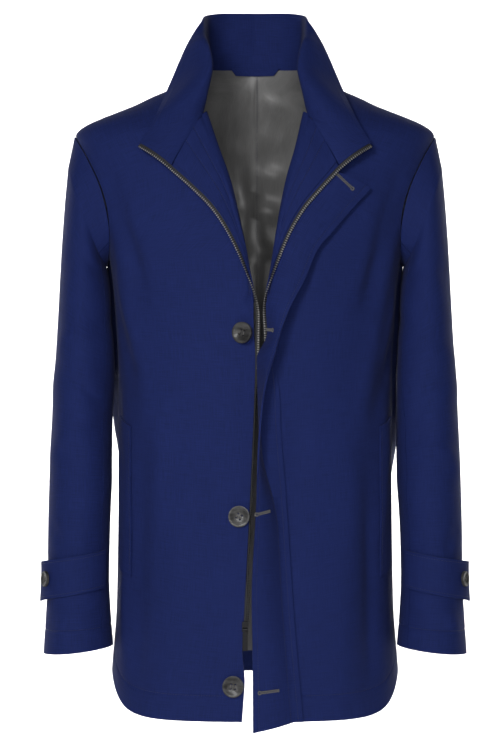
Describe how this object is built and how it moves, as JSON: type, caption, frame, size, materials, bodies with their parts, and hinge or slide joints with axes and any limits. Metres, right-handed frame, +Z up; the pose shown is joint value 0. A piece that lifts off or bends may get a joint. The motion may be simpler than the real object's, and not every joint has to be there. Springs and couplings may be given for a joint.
{
  "type": "car coat",
  "caption": "Navy single-breasted car coat worn open on an unseen body, with a stand-fall collar, turned-out zip edges, a buttonhole fly, sleeve straps and slanted side pockets.",
  "frame": {"origin": "middle of the neck hole, level with the neck points of the shoulder seams", "axes": "+Z up, the coat faces -Y, +X towards the wearer's left"},
  "size_m": [0.5638, 0.3067, 0.9449],
  "materials": {
    "cloth_navy": "matt woven cloth",
    "lining_grey": "satin",
    "zip_tape_grey": "matt",
    "button_horn": "polished",
    "zip_steel": "satin"
  },
  "bodies": {
    "coat": {"back": "cloth_navy", "button_front_2": "button_horn", "button_front_3": "button_horn", "button_front_4": "button_horn", "button_sleeve_left": "button_horn", "button_sleeve_right": "button_horn", "collar": "cloth_navy", "facing_left": "cloth_navy", "facing_right": "cloth_navy", "fly": "cloth_navy", "front_left": "cloth_navy", "front_right": "cloth_navy", "hanger_loop": "cloth_navy", "lining_back": "lining_grey", "pocket_welt_left": "cloth_navy", "pocket_welt_right": "cloth_navy", "sleeve_strap_left": "cloth_navy", "sleeve_strap_right": "cloth_navy", "sleeve_top_left": "cloth_navy", "sleeve_top_right": "cloth_navy", "sleeve_under_left": "cloth_navy", "sleeve_under_right": "cloth_navy", "zip_slider": "zip_steel", "zip_tape_left": "zip_tape_grey", "zip_tape_right": "zip_tape_grey"},
    "pull_tab": {"zip_pull": "zip_steel"}
  },
  "joints": [
    {"name": "pull_tab_hinge", "type": "hinge", "parent": "coat", "child": "pull_tab", "pos_m": [-0.0128, -0.14102, -0.72736], "axis": [-1, 0, 0], "range_deg": [0, 150]}
  ]
}
